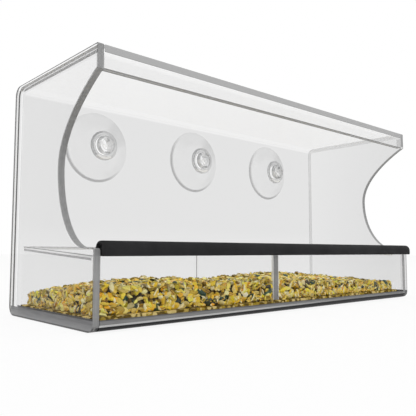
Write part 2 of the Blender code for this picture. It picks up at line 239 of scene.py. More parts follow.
def panel_marks(s, place, normal):
    """Front edge and cut-out are matt grey, with painted shade that makes them darker at middle height.
    The back and top edges are clear between two dark lines, which are faint on the right panel, and the
    foot shows the ends of the floor's sheets."""
    x, y, z = place
    outer_line, pale_line, inner_line, inner_half = 1.0 * MM, 2.2 * MM, 2.5 * MM, 0.45 * MM
    roof_line, clear_line, seam_line, bottom_line = 1.8 * MM, 1.9 * MM, 1.3 * MM, 0.9 * MM
    seam_top, foot_gap, foot_end = 130 * MM, 0.4 * MM, 3 * MM
    front_depth, smear_low, smear_high = 0.6 * MM, 0.8 * MM, 5.5 * MM
    shade_low, shade_high, shade_soft = 50 * MM, 122 * MM, 9 * MM
    chamfer = 0.93
    depth = s.math("SUBTRACT", HALF_WIDTH, s.size(x))
    across = s.size(normal[0])
    right = s.over(x, 0.0)
    edge = s.under(across, FACES)
    sloped = s.both(s.under(across, chamfer), s.no(edge))
    cut = s.either(edge, sloped)
    foremost = s.under(y, FRONT + front_depth)
    in_cutout = s.both(s.under(y, CUTOUT_END), s.over(z, CUTOUT_LOW), s.under(z, CUTOUT_HIGH))
    front = s.either(foremost, in_cutout)
    thin = s.both(cut, s.no(front))
    over = s.both(thin, s.over(z, TOP - roof_line))
    foot = s.both(s.no(edge), s.under(z, SILL_TOP - foot_gap), s.under(y, BACK - foot_end))
    smear = s.mix(s.ramp(z, smear_low, smear_high), FOOT_PALE, FOOT_DARK)
    seam = s.both(foremost, right, s.under(z, seam_top))
    # Painted shade: the front edge and cut-out are darker between these heights
    rim = s.mix(s.band(z, shade_low, shade_high, shade_soft), EDGE_GREY, CUTOUT_SHADE_GREY)
    return [
        (thin, FILM, 0.20),
        (s.both(thin, s.under(depth, pale_line)), EDGE_LIGHT, s.blend(right, 0.35, 0.12)),
        (s.both(thin, s.near(depth, inner_line, inner_half)), EDGE_DARK, s.blend(right, 0.95, 0.14)),
        (over, ROOF_LINE, s.blend(right, 1.0, 0.35)),
        (s.both(over, s.under(depth, clear_line)), FILM, 0.0),
        (s.both(thin, s.under(depth, outer_line)), EDGE_DARK, s.blend(right, 0.85, 0.14)),
        (s.both(cut, front), saw_grain(s, rim, GRAIN_UP), 0.95),
        (s.both(seam, s.over(depth, seam_line)), FILM, 0.15),
        (s.both(sloped, front), EDGE_DARK, 0.6),
        (foot, saw_grain(s, smear, GRAIN_BACK), 0.92),
        (s.under(z, bottom_line), EDGE_DARK, 0.95),
    ]


def shell_tint(s, place, normal):
    """The back shows its tint most, the roof less, as painted light from above, and the low front wall
    hardly at all.
    """
    low_tint, high_tint, lit_roof_tint = 0.105, 0.125, 0.055
    behind = s.ramp(place[1], FRONT + SHEET, FRONT + 2 * SHEET)
    level = s.ramp(s.size(normal[2]), 0.3, 0.8)
    upright = s.ramp(place[2], 38 * MM, 60 * MM, low_tint, high_tint)
    # Painted light: level faces, such as the roof, are tinted less, as if lit from above
    return s.both(behind, s.blend(level, upright, lit_roof_tint))


def shell_marks(s, place, normal):
    """Grey sheet ends, drain holes and cup holes, the roof's grey front edge, and the sill: grey, with a
    pale line over a black one, which is thicker towards the right. The pale line is a painted highlight,
    and a strip along the bend at the top of the back is left clear to stand in for a highlight."""
    x, y, z = place
    back, level = s.size(normal[1]), s.size(normal[2])
    seam_width, seam_top, high_up, bend_share = 8 * MM, 100 * MM, 100 * MM, 0.635
    end_rise, sill_gap, sill_back, shine_height = 1.8 * MM, 1.0 * MM, 2 * MM, 1.0 * MM
    black_left, black_right = 2.4 * MM, 3.5 * MM
    ends = s.over(s.size(normal[0]), FACES_SQUARELY)
    roof_end = s.both(ends, s.over(z, TOP - SHEET + end_rise))
    roof_edge = s.both(s.over(z, TOP - SHEET - 2 * SKIN), s.under(y, FRONT + 2.5 * SKIN))
    low = s.both(s.under(y, FRONT + SHEET + sill_back), s.under(z, SILL_TOP - sill_gap))
    seam = s.both(s.over(x, HALF_WIDTH - seam_width), s.under(y, FRONT + 2 * SKIN), s.under(z, seam_top))
    # Painted highlight: a strip near the middle of the back's top bend is left clear
    bent = s.both(s.over(back, bend_share), s.over(level, bend_share))
    bend = s.both(bent, s.over(y, 0.0), s.over(z, high_up))
    # Painted highlight: the sill's pale line, paler at the left
    shine = s.mix(s.ramp(x, -60 * MM, 70 * MM), EDGE_LIGHT, EDGE_GREY)
    black_top = s.ramp(x, -140 * MM, 120 * MM, black_left, black_right)
    shine_top = s.math("ADD", black_top, shine_height)
    holes = s.both(s.under(z, SHEET), s.under(level, FACES), s.under(s.size(y), BACK - 2 * SHEET))
    sockets = s.both(s.over(z, high_up), s.over(y, BACK - SHEET + SKIN), s.under(y, BACK - SKIN),
                     s.under(back, FACES), s.under(z, TOP - 3 * SHEET))
    return [
        (ends, FILM, 0.12),
        (bend, FILM, 0.0),
        (holes, EDGE_GREY, 0.6),
        (sockets, EDGE_PALE, 0.12),
        (seam, EDGE_GREY, 0.8),
        (low, saw_grain(s, EDGE_SHADE, GRAIN_ALONG, 0.12), 0.96),
        (s.both(low, s.under(z, shine_top)), shine, 0.98),
        (s.both(low, s.under(z, black_top)), SILL_BLACK, 1.0),
        (roof_edge, saw_grain(s, EDGE_PALE, GRAIN_ALONG, 0.1), 0.96),
        (roof_end, EDGE_BAND, s.blend(s.over(x, 0.0), 1.0, 0.3)),
    ]


def lip_marks(s, place, normal):
    """The foot is grey between two darker lines, under a clear line on the face."""
    y, z = place[1:]
    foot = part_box("roof_lip")[0].z
    clear_line, front_line, back_line, foot_line = 1.0 * MM, 0.8 * MM, 2.7 * MM, 0.35 * MM
    low = s.under(z, foot + foot_line)
    return [
        (s.both(s.over(s.size(normal[0]), FACES_SQUARELY), s.no(low)), EDGE_PALE, 0.4),
        (s.both(s.under(z, foot + clear_line), s.under(y, FRONT + 2 * SKIN)), FILM, 0.0),
        (low, EDGE_PALE, 0.95),
        (s.both(low, s.under(y, FRONT + front_line)), EDGE_GREY, 0.95),
        (s.both(low, s.over(y, FRONT + back_line)), EDGE_SHADE, 0.95),
    ]


def end_wall_marks(s, place, normal):
    """A pale rim between two dark lines, which follows the wall's sloping top and is faint on the
    right. The rim and the top face are painted with glare, as highlights."""
    x, y, z = place
    pale_line, top_line, low_line, low_half = 1.5 * MM, 0.55 * MM, 2.0 * MM, 0.6 * MM
    low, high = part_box("tray_end_right")
    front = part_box("tray_front_wall")[1].z
    fall = (high.z - front) / (high.y - low.y)
    top = s.math("ADD", s.math("MULTIPLY", y, fall), high.z - high.y * fall)
    gap = s.math("SUBTRACT", top, z)
    outside = s.both(s.over(s.size(x), (low.x + high.x) / 2), s.over(s.size(normal[0]), FACES))
    right = s.over(x, 0.0)
    return [
        # Painted highlights: glare on the top face and on the rim
        (s.over(s.size(normal[2]), FACES), GLARE, 0.5),
        (s.under(z, low.z + SKIN), FILM, 0.0),
        (s.both(outside, s.under(gap, pale_line)), GLARE, 0.7),
        (s.both(outside, s.under(gap, top_line)), EDGE_DARK, s.blend(right, 0.9, 0.1)),
        (s.both(outside, s.near(gap, low_line, low_half)), EDGE_GREY, s.blend(right, 0.65, 0.05)),
    ]


def back_wall_marks(s, place, normal):
    """A grey rim under a dark line, on the face towards the seed, and a painted highlight of glare on
    the top face.
    """
    y, z = place[1:]
    low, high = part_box("tray_back_wall")
    pale_line, top_line = 1.8 * MM, 0.6 * MM
    gap = s.math("SUBTRACT", high.z, z)
    inside = s.both(s.under(y, (low.y + high.y) / 2), s.over(s.size(normal[1]), FACES))
    return [
        # Painted highlight: glare on the top face
        (s.over(s.size(normal[2]), FACES), GLARE, 0.4),
        (s.under(z, low.z + SKIN), FILM, 0.0),
        (s.both(inside, s.under(gap, pale_line)), EDGE_PALE, 0.45),
        (s.both(inside, s.under(gap, top_line)), EDGE_DARK, 0.5),
    ]


def front_wall_marks(s, place, normal):
    """Grey top edge and clear foot."""
    return [
        (s.over(s.size(normal[2]), FACES), EDGE_GREY, 0.4),
        (s.under(place[2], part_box("tray_front_wall")[0].z + SKIN), FILM, 0.0),
    ]


def floor_marks(s, place, normal):
    """The floor's edges, and its margin under the walls, carry a painted reflection of the seed that
    lies on it.
    """
    x, y, z = place
    low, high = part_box("tray_floor")
    width = 9 * MM
    dim, bright, dark = (0.50, 0.34, 0.03), (0.92, 0.72, 0.28), (0.16, 0.10, 0.01)
    border = s.either(s.under(y, low.y + width), s.over(s.size(x), high.x - width))
    margin = s.both(s.over(z, high.z - SKIN), border)
    edges = s.under(s.size(normal[2]), FACES)
    # Painted reflection: seed-coloured cells with dark gaps between them
    cells = s.node("ShaderNodeTexVoronoi", {"Scale": 300.0, "Vector": s.coords.outputs["Object"]})
    pick = s.split(cells.outputs["Color"])[0]
    glow = s.mix(s.ramp(pick, 0.25, 0.7), dim, bright)
    glow = s.mix(s.ramp(cells.outputs["Distance"], 0.42, 0.62), glow, dark)
    return [(s.either(edges, margin), glow, 0.97)]


def divider_marks(s, place, normal):
    """The front end is grey between pale rims, and the back end is a thin dark line. The pale rims, and
    the faces next to the front end, are painted highlights of glare.
    """
    x, y, z = place
    low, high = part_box("tray_divider")
    middle, half = (low.x + high.x) / 2, (high.x - low.x) / 2
    core_half, rim_width, glare_depth = 0.35 * MM, 0.45 * MM, 1.4 * MM
    core = s.near(x, middle, core_half)
    rim = s.no(s.near(x, middle, half - rim_width))
    flat_end = s.over(s.size(normal[1]), FACES)
    front = s.both(flat_end, s.under(y, 0.0))
    rear = s.both(flat_end, s.over(y, 0.0))
    return [
        (s.over(s.size(normal[2]), FACES), EDGE_PALE, 0.3),
        (s.under(z, low.z + SKIN), FILM, 0.0),
        # Painted highlights: glare near the front end and on its rims
        (s.both(s.under(y, low.y + glare_depth), s.no(front)), GLARE, 0.8),
        (front, saw_grain(s, EDGE_GREY, GRAIN_UP), 0.96),
        (s.both(front, rim), GLARE, 0.8),
        (rear, FILM, 0.02),
        (s.both(rear, core), EDGE_DARK, 0.8),
    ]


def dress_cad():
    """Gives the CAD nodes that stay their finished materials."""
    looks = {
        "shell_sheet": acrylic("acrylic_shell", shell_tint, shell_marks, gloss=0.1),
        "side_panel_left": acrylic("acrylic_panels", 0.225, panel_marks, gloss=0.28),
        "roof_lip": acrylic("acrylic_lip", 0.06, lip_marks),
        "tray_floor": acrylic("acrylic_tray_floor", 0.03, floor_marks, gloss=0.0),
        "tray_front_wall": acrylic("acrylic_tray_front", 0.01, front_wall_marks, gloss=0.15),
        "tray_back_wall": acrylic("acrylic_tray_back", 0.01, back_wall_marks, gloss=0.25),
        "tray_end_left": acrylic("acrylic_tray_ends", 0.01, end_wall_marks, gloss=0.15),
        "tray_divider": acrylic("acrylic_divider", 0.02, divider_marks),
    }
    looks["side_panel_right"] = looks["side_panel_left"]
    looks["tray_end_right"] = looks["tray_end_left"]
    for node, material in looks.items():
        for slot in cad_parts[node].material_slots:
            slot.material = material


def add_piece(name, mesh, material, body, replaced):
    """Puts a finished mesh on its body, smooth but for sharp folds."""
    mesh.shade_smooth()
    mesh.set_sharp_from_angle(angle=SHARP_FOLD)
    mesh.materials.append(material)
    piece = bpy.data.objects.new(name, mesh)
    bpy.context.scene.collection.objects.link(piece)
    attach(piece, body)
    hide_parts(replaced)


def closed_mesh(name, points, faces):
    """Mesh with all faces turned outwards."""
    mesh = bpy.data.meshes.new(name)
    mesh.from_pydata([tuple(p) for p in points], [], faces)
    bm = bmesh.new()
    bm.from_mesh(mesh)
    bmesh.ops.recalc_face_normals(bm, faces=bm.faces)
    bm.to_mesh(mesh)
    bm.free()
    return mesh


def arc(centre, size, start, end, steps):
    """Points on an arc, in degrees."""
    angles = np.radians(np.linspace(start, end, steps))
    return [(centre[0] + size * math.cos(a), centre[1] + size * math.sin(a)) for a in angles]


# Perch
def foam():
    """Matt black foam with fine pits, which are painted darker, as the shade in them."""
    s = Shader("black_foam")
    deep, dark, pale = (0.008, 0.008, 0.009), (0.013, 0.013, 0.014), (0.021, 0.021, 0.022)
    grain_share, relief, relief_depth = 0.6, 0.35, 0.12 * MM
    pores = s.node("ShaderNodeTexVoronoi", {"Scale": 1500.0, "Vector": s.coords.outputs["Object"]})
    grain = s.noise(2600.0, 2.0)
    pit = s.ramp(pores.outputs["Distance"], 0.05, 0.35)
    shade = s.mix(s.ramp(s.noise(55.0), 0.3, 0.7), dark, pale)
    rough = s.ramp(grain, 0.3, 0.7, 0.72, 0.88)
    # Painted shade: the pits take the deepest colour
    s.set(Base_Color=s.mix(pit, deep, shade), Roughness=rough, Specular_IOR_Level=0.14)
    s.bump(s.math("ADD", pit, s.math("MULTIPLY", grain, grain_share)), relief, relief_depth)
    return s.material


def add_perch():
    """The foam sleeve, with round shoulders, a pressed-in slit and softened ends."""
    low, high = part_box("perch_grip")
    gap, notch, crown, foot, soften = 0.3 * MM, 0.4 * MM, 4.2 * MM, 0.7 * MM, 0.35 * MM
    end_draw, wave_depth, slow_wave, quick_wave = 0.22 * MM, 0.03 * MM, 90, 210
    slit_front, slit_back = FRONT - gap, FRONT + SHEET + gap
    tops = [v.co.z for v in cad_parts["perch_grip"].data.vertices
            if slit_front - gap < v.co.y < slit_back + gap and v.co.z < high.z - MM]
    slit_top = max(tops)
    outline = arc((low.y + crown, high.z - crown), crown, 180, 90, 12)
    outline += arc((high.y - crown, high.z - crown), crown, 90, 0, 12)
    outline += arc((high.y - foot, low.z + foot), foot, 0, -90, 4)
    outline += [(slit_back, low.z), (slit_back, slit_top - notch), (slit_back - notch, slit_top),
                (slit_front + notch, slit_top), (slit_front, slit_top - notch), (slit_front, low.z)]
    outline += arc((low.y + foot, low.z + foot), foot, -90, -180, 4)
    middle = np.array([(low.y + high.y) / 2, (low.z + high.z) / 2])
    stations = [(low.x, 1.0), (low.x + soften / 3, 0.5)]
    stations += [(x, 0.0) for x in np.linspace(low.x + soften, high.x - soften, 60)]
    stations += [(high.x - soften / 3, 0.5), (high.x, 1.0)]
    points, faces = [], []
    count = len(outline)
    for x, drawn in stations:
        swell = -wave_depth * (1 + math.sin(x * slow_wave) * math.sin(x * quick_wave))
        for y, z in outline:
            out = np.array([y, z]) - middle
            inside = slit_front - gap < y < slit_back + gap and z < slit_top + gap
            shift = out / np.linalg.norm(out) * (-end_draw * drawn + (0 if inside else swell))
            points.append((x, y + shift[0], z + shift[1]))
    for row in range(len(stations) - 1):
        for item in range(count):
            a, b = row * count + item, row * count + (item + 1) % count
            faces.append((a, b, b + count, a + count))
    faces.append(tuple(range(count)))
    faces.append(tuple(len(points) - count + item for item in reversed(range(count))))
    mesh = closed_mesh("perch_foam", points, faces)
    add_piece("perch_foam", mesh, foam(), "shelter", "perch_grip")


# Suction cups
CUP_HEAD, CUP_BRIM, CUP_NECK, CUP_BOSS, CUP_LAND = 6.6 * MM, 10.4 * MM, 6.2 * MM, 10.5 * MM, 2.8 * MM
CUP_BRIM_LENGTH, CUP_DISH = 2.2 * MM, 2.2 * MM
CUP_RADIUS = (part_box("suction_cup_left")[1].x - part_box("suction_cup_left")[0].x) / 2
VINYL_SHADE = (0.12, 0.125, 0.13)
VINYL_GLINT = (0.97, 0.97, 0.97)


def vinyl():
    """Soft clear vinyl. The attribute own is a point's place from the cup's middle, in cup radii, and
    turn is its angle there in degrees, from +X up to +Z. The knob is the head, the flange is the brim
    round it, and the disc is the rest."""
    s = Shader("clear_vinyl")
    x, y, z = s.split(s.node("ShaderNodeAttribute", attribute_name="own").outputs["Vector"])
    radius = s.math("SQRT", s.math("ADD", s.math("MULTIPLY", x, x), s.math("MULTIPLY", z, z)))
    turn = s.math("DEGREES", s.math("ARCTAN2", z, x))
    head, brim = CUP_HEAD / CUP_RADIUS, CUP_BRIM / CUP_RADIUS
    low_left = s.ramp(s.math("ADD", x, z), -1.0, 0.35, 1.0, 0.0)
    left = s.ramp(x, -0.30, 0.05, 1.0, 0.0)
    cloud = s.noise(120.0)
    front = s.under(y, -(SHEET + 2 * SKIN) / CUP_RADIUS)
    knob = s.both(front, s.under(radius, head + 0.004))
    flange = s.both(front, s.no(knob))
    disc = s.no(front)
    knob_grey, flange_grey, bright_alpha, dark_alpha = 0.10, 0.05, 0.85, 0.62
    slant = s.both(s.math("POWER", s.facing(), 3.0), s.blend(front, 0.10, 0.26))
    land = s.both(disc, s.band(radius, 0.925, 0.99, 0.02), s.blend(low_left, 0.01, 0.30))
    # Painted shade on the disc: at the upper right, the top and the lower right
    shade_upper_right = s.both(disc, s.ramp(radius, 0.45, 0.62), s.band(turn, 12.0, 58.0, 14.0), 0.085)
    shade_top = s.both(disc, s.ramp(radius, 0.40, 0.70), s.band(turn, 50.0, 140.0, 25.0), 0.03)
    shade_lower_right = s.both(disc, s.band(radius, 0.74, 0.97, 0.08), s.band(turn, -75.0, 5.0, 15.0), 0.025)

    def ring(where, low, high, soft, faint, strong):
        return s.both(where, s.band(radius, low, high, soft), s.blend(left, faint, strong))

    alpha = s.ramp(cloud, 0.3, 0.7, 0.010, 0.020)
    for part in (slant, land, shade_upper_right, shade_top, shade_lower_right,
                 ring(flange, brim - 0.055, brim - 0.01, 0.014, 0.16, 0.42),
                 ring(flange, brim - 0.115, brim - 0.095, 0.010, 0.04, 0.30),
                 ring(knob, head - 0.045, head + 0.01, 0.010, 0.12, 0.60),
                 ring(knob, head - 0.105, head - 0.085, 0.010, 0.0, 0.30),
                 s.both(knob, knob_grey), s.both(flange, flange_grey)):
        alpha = s.math("ADD", alpha, part, clamp=True)
    streaks = s.ramp(s.noise(300.0, 2.0), 0.42, 0.56)
    top_patch = s.both(knob, s.band(z, 0.085, 0.20, 0.02), s.band(x, -0.075, 0.06, 0.02), streaks)
    low_patch = s.both(knob, s.band(z, -0.235, -0.195, 0.012), s.band(x, -0.07, 0.09, 0.02))
    dark = s.either(top_patch, low_patch)
    # Painted highlights: a glint on the knob, a glow along the flange's foot and bright flecks on the
    # knob
    glint = s.both(knob, s.band(radius, 0.07, 0.15, 0.02), s.band(turn, -179.0, -95.0, 12.0))
    glow = s.both(flange, s.under(z, -0.29), s.band(radius, 0.31, brim - 0.03, 0.01))
    bright = s.either(glint, glow, s.both(knob, s.ramp(s.noise(210.0, 1.0), 0.50, 0.60), 0.5))
    alpha = s.blend(dark, s.blend(bright, alpha, bright_alpha), dark_alpha)
    colour = s.mix(dark, s.mix(bright, VINYL_SHADE, VINYL_GLINT), VINYL_SHADE)
    s.set(Base_Color=colour, Alpha=alpha, Roughness=s.ramp(cloud, 0.3, 0.7, 0.08, 0.16), IOR=1.52)
    return s.material


def cup_profile(front, back):
    """Half section from the head's middle round the disc to the dish's middle, as (radius, y)."""
    gap, soft = 0.3 * MM, 0.4 * MM
    inner, outer = BACK - SHEET - gap, BACK + gap
    crown, lip = 2.2 * MM, 1.0 * MM
    rib_height, rib_radius, rib_width = 0.18 * MM, 15.5 * MM, 0.7 * MM
    brim_front = inner - CUP_BRIM_LENGTH
    dimple = [(0.0, front + 0.9 * MM), (1.4 * MM, front + 0.75 * MM), (2.3 * MM, front + 0.25 * MM),
              (3.0 * MM, front + 0.02 * MM)]
    head = arc((CUP_HEAD - crown, front + crown), crown, -86, 0, 9)
    head += [(CUP_HEAD, brim_front - soft), (CUP_HEAD + soft / 3, brim_front - soft / 3),
             (CUP_HEAD + soft, brim_front)]
    head += arc((CUP_BRIM - lip, brim_front + lip), lip, -90, 0, 6)
    neck = [(CUP_BRIM, inner - soft), (CUP_BRIM - soft, inner), (CUP_NECK + soft, inner),
            (CUP_NECK, inner + soft), (CUP_NECK, outer - gap / 3), (CUP_NECK + soft, outer),
            (CUP_BOSS - soft, outer), (CUP_BOSS, outer + gap)]
    start = np.array([CUP_BOSS, outer + 3 * soft])
    end = np.array([CUP_RADIUS - gap / 2, back - 2 * soft])
    span = end - start
    handles = [start, start + span * (0.45, 0.10), start + span * (0.80, 0.55), end]
    bell = []
    for t in np.linspace(0, 1, 18):
        weights = [(1 - t) ** 3, 3 * t * (1 - t) ** 2, 3 * t ** 2 * (1 - t), t ** 3]
        r, y = sum(w * h for w, h in zip(weights, handles))
        rib = rib_height * math.exp(-((r - rib_radius) / rib_width) ** 2)
        bell.append((r, y - rib))
    rim = [(CUP_RADIUS, back - soft), (CUP_RADIUS, back - gap / 2), (CUP_RADIUS - gap / 2, back)]
    land = CUP_RADIUS - CUP_LAND
    ball = (land ** 2 + CUP_DISH ** 2) / (2 * CUP_DISH)
    bottom = back - CUP_DISH + ball
    dish = [(r, bottom - math.sqrt(ball ** 2 - r ** 2)) for r in np.linspace(land, 0, 12)]
    return dimple + head + neck + bell + rim + dish


def add_cup(place, material):
    node = "suction_cup_" + place
    low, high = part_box(node)
    centre = (low + high) / 2
    steps = 72
    points, faces, own, starts = [], [], [], []
    for r, y in cup_profile(low.y, high.y):
        starts.append(len(points))
        for turn in range(1 if r == 0 else steps):
            x = r * math.cos(math.tau * turn / steps)
            z = r * math.sin(math.tau * turn / steps)
            points.append((centre.x + x, y, centre.z + z))
            own.append((x / CUP_RADIUS, (y - BACK) / CUP_RADIUS, z / CUP_RADIUS))
    starts.append(len(points))
    for a, b, end in zip(starts, starts[1:], starts[2:]):
        for turn in range(steps):
            after = (turn + 1) % steps
            if b - a == 1:
                faces.append((a, b + turn, b + after))
            elif end - b == 1:
                faces.append((a + turn, b, a + after))
            else:
                faces.append((a + turn, b + turn, b + after, a + after))
    name = "cup_" + place + "_vinyl"
    mesh = closed_mesh(name, points, faces)
    places = mesh.attributes.new("own", "FLOAT_VECTOR", "POINT")
    places.data.foreach_set("vector", np.array(own, np.float32).ravel())
    add_piece(name, mesh, material, "cup_" + place, node)


# Seed
RNG = np.random.default_rng(20)

# Outlines as shares of the length and of the radius there
ROUND_SHARES = [(0.09, 0.58), (0.28, 0.91), (0.5, 1.0), (0.72, 0.91), (0.91, 0.58)]
GRAIN_SHARES = [(0.06, 0.36), (0.22, 0.78), (0.45, 1.0), (0.68, 0.93), (0.87, 0.62), (0.96, 0.3)]
DROP_SHARES = [(0.05, 0.42), (0.18, 0.82), (0.38, 1.0), (0.62, 0.82), (0.83, 0.45), (0.95, 0.16)]
BLUNT_SHARES = [(0.04, 0.55), (0.2, 0.9), (0.5, 1.0), (0.8, 0.96), (0.95, 0.72)]


def lathe(outline, segments, bend=None):
    """A closed form of unit size along X. bend changes each ring's points."""
    points, faces = [(-0.5, 0, 0)], []
    for along, radius in outline:
        for k in range(segments):
            turn = math.tau * k / segments
            y, z = radius * math.cos(turn) / 2, radius * math.sin(turn) / 2
            points.append((along - 0.5, *(bend(along, y, z) if bend else (y, z))))
    points.append((0.5, 0, 0))
    last = len(points) - 1
    tail = last - segments
    for k in range(segments):
        after = (k + 1) % segments
        faces += [(0, 1 + after, 1 + k), (tail + k, tail + after, last)]
        for a in range(1, tail, segments):
            b = a + segments
            faces += [(a + k, a + after, b + after), (a + k, b + after, b + k)]
    return np.array(points), np.array(faces)


def creased(along, y, z):
    """A groove along the top."""
    depth, width = 0.16, 0.12
    return y, z - (depth * math.exp(-(y / width) ** 2) if z > 0 else 0)


def flattened(along, y, z):
    """Flatter underneath."""
    return y, z * (1 if z > 0 else 0.72)


def kernel(along, y, z):
    """Wide and blunt at one end, narrow at the other."""
    return y * (0.62 + 0.55 * along), z * (0.8 + 0.2 * math.sin(along * math.pi))


def chunk(rng, cuts):
    """A broken kernel: a ball with flat cuts."""
    near_cut, far_cut, unevenness = 0.12, 0.34, 0.03
    bm = bmesh.new()
    bmesh.ops.create_icosphere(bm, subdivisions=2, radius=0.5)
    points = np.array([v.co[:] for v in bm.verts])
    faces = np.array([[v.index for v in f.verts] for f in bm.faces])
    bm.free()
    for _ in range(cuts):
        way = rng.normal(size=3)
        way /= np.linalg.norm(way)
        over = points @ way - rng.uniform(near_cut, far_cut)
        points -= np.clip(over, 0, None)[:, None] * way
    points *= 1 + rng.normal(0, unevenness, (len(points), 1))
    points /= points.max(0) - points.min(0)
    points -= (points.max(0) + points.min(0)) / 2
    return points, faces


# Each kind: share of the seeds, length, width and thickness in mm, how much sizes vary, and colours
KINDS = {
    "cracked_corn": (0.33, (5.2, 4.2, 2.1), 0.32,
                     ((0.92, 0.60, 0.02), (0.92, 0.64, 0.05), (0.92, 0.42, 0.01), (0.92, 0.76, 0.20),
                      (0.88, 0.68, 0.05))),
    "husk": (0.26, (6.4, 3.0, 0.9), 0.28,
             ((0.92, 0.76, 0.30), (0.88, 0.68, 0.10), (0.92, 0.83, 0.50), (0.56, 0.38, 0.04))),
    "canary_seed": (0.14, (5.2, 1.9, 1.5), 0.18,
                    ((0.90, 0.68, 0.11), (0.56, 0.41, 0.04), (0.92, 0.76, 0.30))),
    "wheat": (0.10, (5.9, 2.7, 2.1), 0.15,
              ((0.74, 0.45, 0.05), (0.90, 0.60, 0.10), (0.34, 0.20, 0.02))),
    "millet": (0.04, (2.6, 2.4, 2.2), 0.12,
               ((0.86, 0.58, 0.05), (0.62, 0.40, 0.03))),
    "safflower": (0.055, (6.4, 4.2, 2.4), 0.20,
                  ((0.92, 0.86, 0.62), (0.92, 0.80, 0.48))),
    "hulled_pea": (0.04, (5.2, 4.2, 2.2), 0.20,
                   ((0.50, 0.42, 0.01), (0.66, 0.54, 0.02))),
    "sunflower": (0.032, (9.4, 5.4, 1.9), 0.16,
                  ((0.005, 0.040, 0.026), (0.008, 0.060, 0.036), (0.03, 0.02, 0.008))),
}


def kind_forms(kind):
    rng = np.random.default_rng(100 + list(KINDS).index(kind))
    return {
        "cracked_corn": lambda: ([chunk(rng, cuts) for cuts in (4, 5, 6, 8)]
                                 + [lathe(BLUNT_SHARES, 8, kernel)] * 2),
        "husk": lambda: [chunk(rng, 5), lathe(DROP_SHARES, 8, flattened),
                         lathe(GRAIN_SHARES, 8, flattened)],
        "canary_seed": lambda: [lathe(GRAIN_SHARES, 6)],
        "wheat": lambda: [lathe(GRAIN_SHARES, 8, creased)],
        "millet": lambda: [lathe(ROUND_SHARES, 7)],
        "safflower": lambda: [lathe(DROP_SHARES, 7, flattened), chunk(rng, 6)],
        "hulled_pea": lambda: [chunk(rng, cuts) for cuts in (4, 5, 6)],
        "sunflower": lambda: [lathe(DROP_SHARES, 9, flattened), chunk(rng, 7)],
    }[kind]()


# What darkens or lightens seeds: blotches, painted shade underneath, scars at the ends, painted shade in
# a groove, and the floury inside of a kernel
BLOTCH, UNDERSIDE_SHADE = (0.36, 0.20, 0.01), (0.07, 0.04, 0.003)
SCAR_AND_GROOVE_SHADE, FLOUR = (0.16, 0.08, 0.02), (0.92, 0.84, 0.50)


def striped(s, across, waves, low, high, strength, colour, stripe):
    """Stripes along a seed."""
    lines = s.ramp(s.math("SINE", s.math("MULTIPLY", across, waves)), low, high)
    return s.mix(s.math("MULTIPLY", lines, strength), colour, stripe)


def seed_material(kind):
    """The attributes own and tint are a point's place in its seed and the seed's colour."""
    s = Shader(kind)
    x, y, z = s.split(s.node("ShaderNodeAttribute", attribute_name="own").outputs["Vector"])
    tint = s.node("ShaderNodeAttribute", attribute_name="tint").outputs["Color"]
    mottle = s.noise(900.0)
    colour = s.mix(s.ramp(mottle, 0.48, 0.76, 0.0, 0.36), tint, BLOTCH)
    # Painted shade: each seed is darker on its side towards the heap
    underside_shade = s.ramp(z, -0.02, 0.22, 0.60, 0.0)
    rough = 0.5
    if kind == "cracked_corn":
        floury = s.ramp(s.math("ADD", x, s.math("MULTIPLY", mottle, 0.5)), 0.44, 0.52)
        colour = s.mix(floury, colour, FLOUR)
        rough = s.blend(floury, 0.33, 0.8)
    elif kind == "husk":
        colour = striped(s, y, 40.0, 0.3, 0.95, 0.3, colour, (0.38, 0.26, 0.04))
        rough = 0.6
    elif kind == "sunflower":
        colour = striped(s, y, 30.0, 0.80, 0.97, 0.12, tint, (0.22, 0.30, 0.22))
        rough = 0.42
    elif kind == "wheat":
        # Painted shade: the wheat's groove is darker, and so is one end
        groove = s.both(s.ramp(s.size(y), 0.04, 0.11, 1.0, 0.0), s.over(z, 0.0))
        colour = s.mix(s.either(groove, s.ramp(x, 0.36, 0.48)), colour, SCAR_AND_GROOVE_SHADE)
    elif kind == "safflower":
        colour = striped(s, y, 22.0, 0.7, 0.95, 0.25, colour, (0.55, 0.48, 0.30))
        rough = 0.38
    elif kind == "millet":
        colour = s.mix(s.ramp(x, 0.34, 0.44), colour, SCAR_AND_GROOVE_SHADE)
        rough = 0.36
    s.set(Base_Color=s.mix(underside_shade, colour, UNDERSIDE_SHADE), Roughness=rough)
    s.bump(s.noise(2400.0, 2.0), 0.25, 0.1 * MM)
    return s.material


def core_material():
    """Packed seed in the shade of the loose ones."""
    s = Shader("seed_core")
    dark, middle, pale = (0.09, 0.055, 0.008), (0.26, 0.16, 0.02), (0.50, 0.35, 0.06)
    hollow = (0.02, 0.014, 0.004)
    cells = s.node("ShaderNodeTexVoronoi", {"Scale": 330.0, "Vector": s.coords.outputs["Object"]})
    pick = s.split(cells.outputs["Color"])[0]
    colour = s.mix(s.ramp(pick, 0.2, 0.5), dark, middle)
    colour = s.mix(s.ramp(pick, 0.6, 0.95), colour, pale)
    gap = s.ramp(cells.outputs["Distance"], 0.35, 0.6)
    s.set(Base_Color=s.mix(gap, colour, hollow), Roughness=0.8)
    s.bump(s.no(gap), 0.8, 0.8 * MM)
    return s.material


